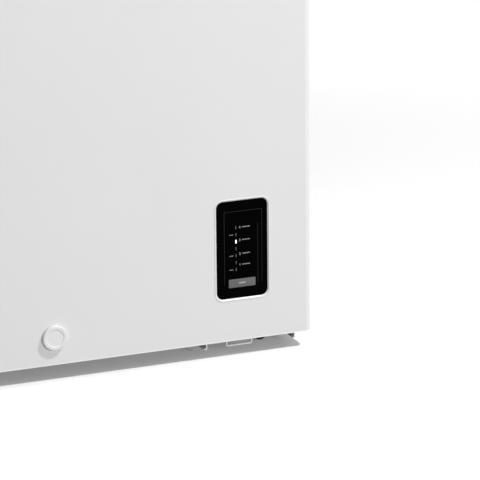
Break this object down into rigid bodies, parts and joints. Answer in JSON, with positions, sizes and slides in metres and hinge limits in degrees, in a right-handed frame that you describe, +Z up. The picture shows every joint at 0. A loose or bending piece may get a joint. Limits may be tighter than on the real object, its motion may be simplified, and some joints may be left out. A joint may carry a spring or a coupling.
{
  "type": "chest freezer",
  "caption": "Upright-boxed chest freezer with a hinged, sprung top lid, a touch panel and drain on the front, a sliding basket inside and castors below.",
  "frame": {"origin": "on the floor, in the middle of the freezer's box", "axes": "+X to the user's right, +Y from the front to the back, +Z up"},
  "size_m": [0.753, 0.591, 0.85],
  "materials": {
    "painted_white": "satin white coating",
    "zinc_sheet": "galvanised",
    "liner_white": "glossy white",
    "white_plastic": "satin white",
    "coated_wire": "white coating",
    "foam": "rigid insulation foam",
    "touch_glass": "black glass",
    "grey_plastic": "matte grey",
    "board_green": "circuit board",
    "cable_sheath": "black sheath",
    "copper_tube": "copper",
    "steel_tube": "black coated",
    "iron": "cast",
    "drain_hose": "white hose",
    "black_rubber": "matte",
    "seal_grey": "soft seal",
    "zinc_steel": "zinc plated",
    "lock_chrome": "polished",
    "black_wheel": "black"
  },
  "bodies": {
    "cabinet": {"outer_wrapper": "painted_white", "right_rail": "painted_white", "left_rail": "painted_white", "front_loop": "painted_white", "back_panel": "zinc_sheet", "base_pan": "zinc_sheet", "compressor_tray": "zinc_sheet", "inner_liner": "liner_white", "top_frame": "white_plastic", "control_bezel": "white_plastic", "drain_collar": "white_plastic", "drain_socket": "white_plastic", "side_grille": "white_plastic", "foam_body": "foam", "control_glass": "touch_glass", "control_box": "grey_plastic", "rear_cover": "grey_plastic", "cord_gland": "grey_plastic", "relay_cover": "grey_plastic", "control_board": "board_green", "control_harness": "cable_sheath", "temperature_probe": "cable_sheath", "evaporator_coil": "copper_tube", "suction_pipe": "copper_tube", "discharge_pipe": "copper_tube", "filter_drier": "copper_tube", "capillary_tube": "copper_tube", "condenser_coil": "steel_tube", "compressor_shell": "steel_tube", "compressor_base": "steel_tube", "compressor_pump": "iron", "drain_pipe": "drain_hose", "compressor_grommets": "black_rubber", "compressor_bolts": "zinc_steel", "rear_screws": "zinc_steel", "hinge_pins": "zinc_steel", "hinge_springs": "zinc_steel", "hinge_brackets": "zinc_steel", "lock_keeper": "zinc_steel", "castor_mounts": "zinc_steel"},
    "lid": {"lid_skin": "painted_white", "lid_liner": "liner_white", "lid_plug": "liner_white", "lid_foam": "foam", "lid_gasket": "seal_grey", "lid_handle": "white_plastic", "hinge_leaves": "zinc_steel"},
    "lock": {"lock_barrel": "lock_chrome", "lock_cam": "zinc_steel"},
    "basket": {"wire_basket": "coated_wire"},
    "drain_cap": {"drain_cap": "white_plastic"},
    "drain_plug": {"drain_plug": "white_plastic"},
    "castor_front_left": {"castor_fork_front_left": "zinc_steel"},
    "wheel_front_left": {"castor_wheel_front_left": "black_wheel"},
    "castor_front_right": {"castor_fork_front_right": "zinc_steel"},
    "wheel_front_right": {"castor_wheel_front_right": "black_wheel"},
    "castor_rear_left": {"castor_fork_rear_left": "zinc_steel"},
    "wheel_rear_left": {"castor_wheel_rear_left": "black_wheel"},
    "castor_rear_right": {"castor_fork_rear_right": "zinc_steel"},
    "wheel_rear_right": {"castor_wheel_rear_right": "black_wheel"}
  },
  "joints": [
    {"name": "lid_hinge", "type": "hinge", "parent": "cabinet", "child": "lid", "pos_m": [0, 0.2875, 0.797], "axis": [-1, 0, 0], "range_deg": [0, 85], "deforming": ["hinge_springs"]},
    {"name": "lock_turn", "type": "hinge", "parent": "lid", "child": "lock", "pos_m": [0, -0.2775, 0.782], "axis": [0, -1, 0], "range_deg": [0, 90]},
    {"name": "basket_slide", "type": "slide", "parent": "cabinet", "child": "basket", "axis": [-1, 0, 0], "range_m": [0, 0.4]},
    {"name": "drain_cap_pull", "type": "slide", "parent": "cabinet", "child": "drain_cap", "axis": [0, -1, 0], "range_m": [0, 0.03]},
    {"name": "drain_plug_pull", "type": "slide", "parent": "cabinet", "child": "drain_plug", "axis": [0, 0, 1], "range_m": [0, 0.04]},
    {"name": "swivel_front_left", "type": "hinge", "parent": "cabinet", "child": "castor_front_left", "pos_m": [-0.3225, -0.2065, 0.03], "axis": [0, 0, 1], "continuous": true},
    {"name": "roll_front_left", "type": "hinge", "parent": "castor_front_left", "child": "wheel_front_left", "pos_m": [-0.3315, -0.2065, 0.011], "axis": [0, 1, 0], "continuous": true},
    {"name": "swivel_front_right", "type": "hinge", "parent": "cabinet", "child": "castor_front_right", "pos_m": [0.3225, -0.2065, 0.03], "axis": [0, 0, 1], "continuous": true},
    {"name": "roll_front_right", "type": "hinge", "parent": "castor_front_right", "child": "wheel_front_right", "pos_m": [0.3135, -0.2065, 0.011], "axis": [0, 1, 0], "continuous": true},
    {"name": "swivel_rear_left", "type": "hinge", "parent": "cabinet", "child": "castor_rear_left", "pos_m": [-0.3225, 0.2125, 0.03], "axis": [0, 0, 1], "continuous": true},
    {"name": "roll_rear_left", "type": "hinge", "parent": "castor_rear_left", "child": "wheel_rear_left", "pos_m": [-0.3315, 0.2125, 0.011], "axis": [0, 1, 0], "continuous": true},
    {"name": "swivel_rear_right", "type": "hinge", "parent": "cabinet", "child": "castor_rear_right", "pos_m": [0.3225, 0.2125, 0.03], "axis": [0, 0, 1], "continuous": true},
    {"name": "roll_rear_right", "type": "hinge", "parent": "castor_rear_right", "child": "wheel_rear_right", "pos_m": [0.3135, 0.2125, 0.011], "axis": [0, 1, 0], "continuous": true}
  ]
}
